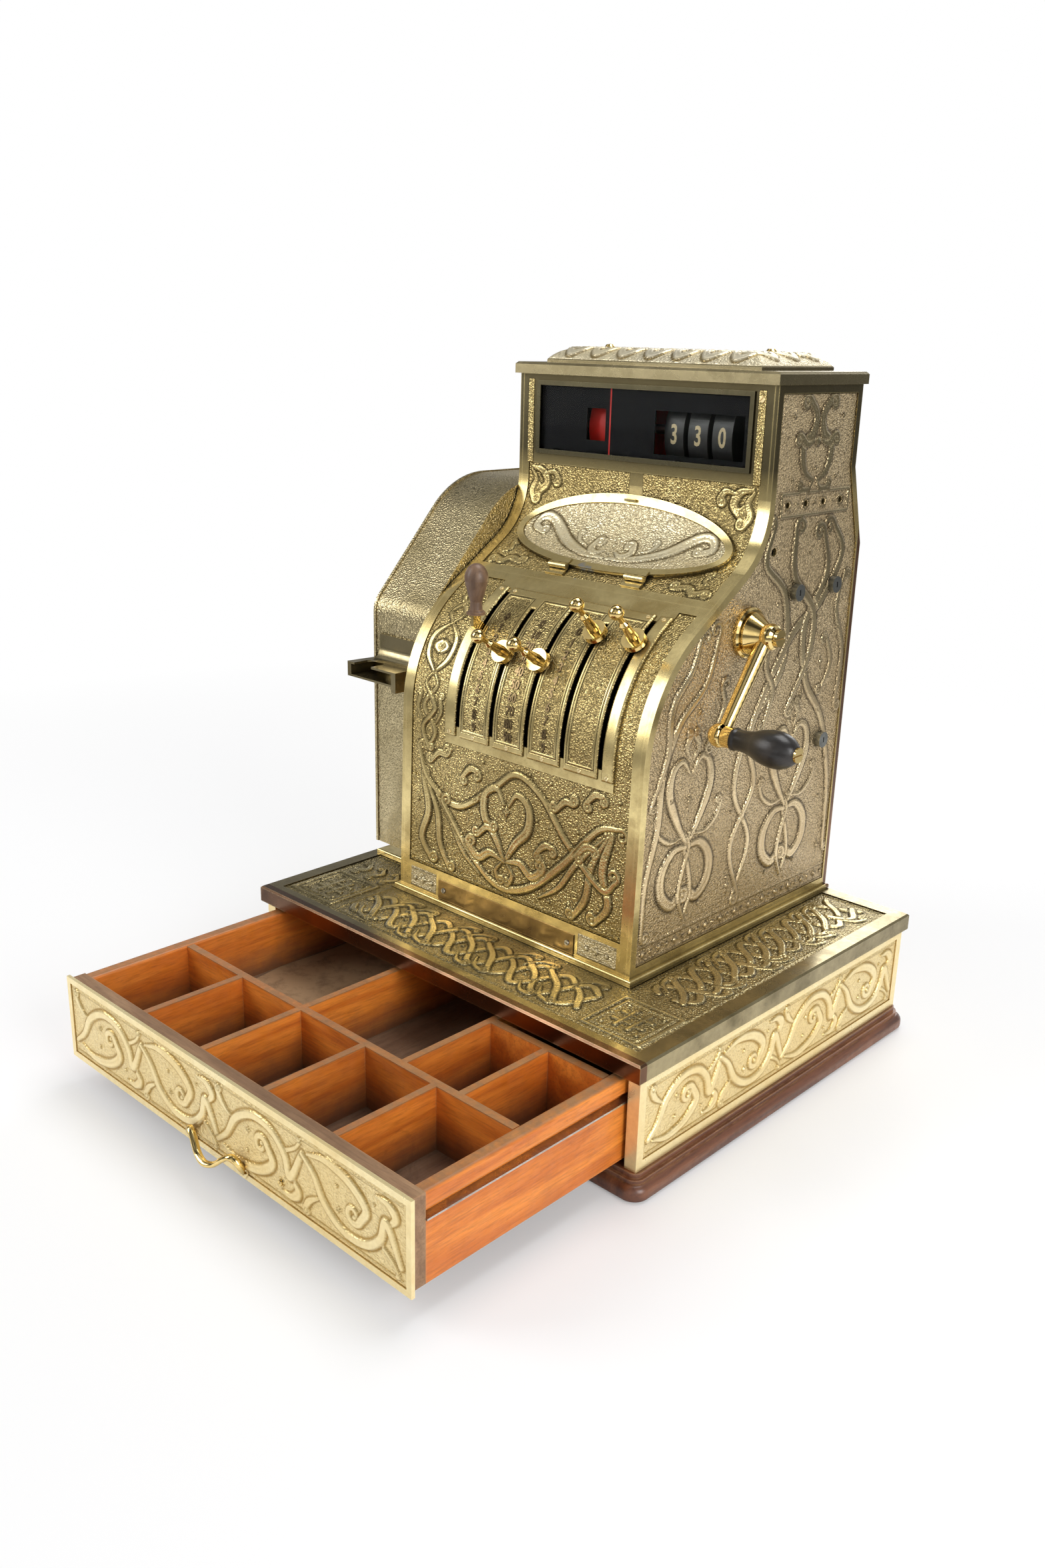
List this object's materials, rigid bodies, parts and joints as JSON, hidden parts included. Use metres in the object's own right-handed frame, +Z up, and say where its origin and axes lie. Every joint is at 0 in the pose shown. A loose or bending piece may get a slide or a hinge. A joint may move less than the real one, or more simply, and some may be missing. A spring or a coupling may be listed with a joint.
{
  "type": "cash register",
  "caption": "Antique brass lever cash register on a wooden base, with sliding till drawer, key levers, digit wheels, side crank and oval door.",
  "frame": {"origin": "on the floor plane under the middle of the brass top plate of the base; the foot board rests there", "axes": "+X to the right of someone at the keys, +Y to the back, +Z up"},
  "size_m": [0.4732, 0.6286, 0.6076],
  "materials": {
    "cast_brass": "cast, worn and lacquered",
    "dark_brass": "aged, olive patina",
    "polished_brass": "polished",
    "drawer_wood": "varnished, worn edges",
    "floor_wood": "worn",
    "dark_wood": "dark varnish, worn",
    "grip_wood": "turned, oiled",
    "black_wood": "turned, ebonised",
    "rail_steel": "worn steel",
    "lock_steel": "aged nickel",
    "window_glass": "clear",
    "black_enamel": "satin black",
    "red_enamel": "satin red"
  },
  "bodies": {
    "register": {"plinth_board": "dark_wood", "base_walls": "drawer_wood", "base_panel_left": "cast_brass", "base_panel_right": "cast_brass", "base_panel_back": "cast_brass", "base_top": "dark_brass", "runner_rails": "rail_steel", "cabinet_foot": "dark_brass", "lower_front": "cast_brass", "upper_front": "cast_brass", "side_panel_left": "cast_brass", "side_panel_right": "cast_brass", "back_panel": "cast_brass", "cornice": "dark_brass", "top_dome": "cast_brass", "dome_nuts": "polished_brass", "window_frame": "polished_brass", "window_glass": "window_glass", "indicator_mask": "black_enamel", "scale_plates": "dark_brass", "serial_plate": "dark_brass", "door_hinges": "polished_brass", "side_frames": "rail_steel", "cross_shafts": "rail_steel", "crank_escutcheon": "polished_brass", "lock_bodies": "lock_steel", "bell": "polished_brass", "printer_cover": "cast_brass", "printer_chute": "dark_brass"},
    "drawer": {"drawer_front": "drawer_wood", "drawer_front_plate": "cast_brass", "drawer_side_left": "drawer_wood", "drawer_side_right": "drawer_wood", "drawer_back": "drawer_wood", "drawer_bottom": "floor_wood", "drawer_cross_partition": "drawer_wood", "drawer_dividers": "drawer_wood", "drawer_strips": "rail_steel", "drawer_pull": "polished_brass"},
    "door": {"oval_door": "cast_brass"},
    "sale_lever": {"sale_lever_arm": "polished_brass", "sale_lever_grip": "grip_wood"},
    "hundreds_lever": {"lever_hundreds": "polished_brass"},
    "tens_lever": {"lever_tens": "polished_brass"},
    "units_lever": {"lever_units": "polished_brass"},
    "parts_lever": {"lever_parts": "polished_brass"},
    "sale_rack": {"rack_sale": "rail_steel"},
    "hundreds_rack": {"rack_hundreds": "rail_steel"},
    "tens_rack": {"rack_tens": "rail_steel"},
    "units_rack": {"rack_units": "rail_steel"},
    "sale_drum": {"sale_flag_drum": "red_enamel"},
    "hundreds_wheel": {"wheel_hundreds": "black_enamel"},
    "tens_wheel": {"wheel_tens": "black_enamel"},
    "units_wheel": {"wheel_units": "black_enamel"},
    "crank": {"crank_arm": "polished_brass", "crank_fasteners": "polished_brass"},
    "crank_handle": {"crank_grip": "black_wood"},
    "front_lock": {"lock_plug_front": "lock_steel"},
    "rear_lock": {"lock_plug_rear": "lock_steel"},
    "low_lock": {"lock_plug_low": "lock_steel"}
  },
  "joints": [
    {"name": "drawer_slide", "type": "slide", "parent": "register", "child": "drawer", "axis": [0, 1, 0], "range_m": [0, 0.207]},
    {"name": "door_hinge", "type": "hinge", "parent": "register", "child": "door", "pos_m": [0, -0.00383, 0.42278], "axis": [1, 0, 0], "range_deg": [0, 70]},
    {"name": "crank_turn", "type": "hinge", "parent": "register", "child": "crank", "pos_m": [0, 0.0319, 0.3867], "axis": [1, 0, 0], "continuous": true},
    {"name": "grip_spin", "type": "hinge", "parent": "crank", "child": "crank_handle", "pos_m": [0.17, -0.02097, 0.31312], "axis": [1, 0, 0], "continuous": true},
    {"name": "sale_lever_turn", "type": "hinge", "parent": "register", "child": "sale_lever", "pos_m": [0, 0.03, 0.29], "axis": [1, 0, 0], "range_deg": [-8, 30]},
    {"name": "sale_rack_slide", "type": "slide", "parent": "register", "child": "sale_rack", "axis": [0, 0, 1], "range_m": [-0.00963, 0.03584]},
    {"name": "sale_drum_turn", "type": "hinge", "parent": "register", "child": "sale_drum", "pos_m": [0, 0.108, 0.536], "axis": [1, 0, 0], "range_deg": [-210.1, 56.1]},
    {"name": "hundreds_lever_turn", "type": "hinge", "parent": "register", "child": "hundreds_lever", "pos_m": [0, 0.03, 0.29], "axis": [1, 0, 0], "range_deg": [-15.43, 30.86]},
    {"name": "hundreds_rack_slide", "type": "slide", "parent": "register", "child": "hundreds_rack", "axis": [0, 0, 1], "range_m": [-0.01848, 0.03686]},
    {"name": "hundreds_wheel_turn", "type": "hinge", "parent": "register", "child": "hundreds_wheel", "pos_m": [0, 0.108, 0.536], "axis": [1, 0, 0], "range_deg": [-216.12, 108.11]},
    {"name": "tens_lever_turn", "type": "hinge", "parent": "register", "child": "tens_lever", "pos_m": [0, 0.03, 0.29], "axis": [1, 0, 0], "range_deg": [-15.43, 30.86]},
    {"name": "tens_rack_slide", "type": "slide", "parent": "register", "child": "tens_rack", "axis": [0, 0, 1], "range_m": [-0.01848, 0.03686]},
    {"name": "tens_wheel_turn", "type": "hinge", "parent": "register", "child": "tens_wheel", "pos_m": [0, 0.108, 0.536], "axis": [1, 0, 0], "range_deg": [-216.12, 108.11]},
    {"name": "units_lever_turn", "type": "hinge", "parent": "register", "child": "units_lever", "pos_m": [0, 0.03, 0.29], "axis": [1, 0, 0], "range_deg": [0, 46.29]},
    {"name": "units_rack_slide", "type": "slide", "parent": "register", "child": "units_rack", "axis": [0, 0, 1], "range_m": [-0.0001, 0.05524]},
    {"name": "units_wheel_turn", "type": "hinge", "parent": "register", "child": "units_wheel", "pos_m": [0, 0.108, 0.536], "axis": [1, 0, 0], "range_deg": [-324.13, 0.1]},
    {"name": "parts_lever_turn", "type": "hinge", "parent": "register", "child": "parts_lever", "pos_m": [0, 0.03, 0.29], "axis": [1, 0, 0], "range_deg": [0, 46.29]},
    {"name": "front_lock_turn", "type": "hinge", "parent": "register", "child": "front_lock", "pos_m": [0.14, 0.098, 0.4123], "axis": [1, 0, 0], "range_deg": [0, 90]},
    {"name": "rear_lock_turn", "type": "hinge", "parent": "register", "child": "rear_lock", "pos_m": [0.14, 0.1565, 0.413], "axis": [1, 0, 0], "range_deg": [0, 90]},
    {"name": "low_lock_turn", "type": "hinge", "parent": "register", "child": "low_lock", "pos_m": [0.14, 0.159, 0.2711], "axis": [1, 0, 0], "range_deg": [0, 90]}
  ],
  "couplings": [
    {"joint": "sale_rack_slide", "follows": "sale_lever_turn", "m_per_rad": 0.06825},
    {"joint": "sale_drum_turn", "follows": "sale_lever_turn", "ratio": -7},
    {"joint": "hundreds_rack_slide", "follows": "hundreds_lever_turn", "m_per_rad": 0.06825},
    {"joint": "hundreds_wheel_turn", "follows": "hundreds_lever_turn", "ratio": -7},
    {"joint": "tens_rack_slide", "follows": "tens_lever_turn", "m_per_rad": 0.06825},
    {"joint": "tens_wheel_turn", "follows": "tens_lever_turn", "ratio": -7},
    {"joint": "units_rack_slide", "follows": "units_lever_turn", "m_per_rad": 0.06825},
    {"joint": "units_wheel_turn", "follows": "units_lever_turn", "ratio": -7}
  ]
}
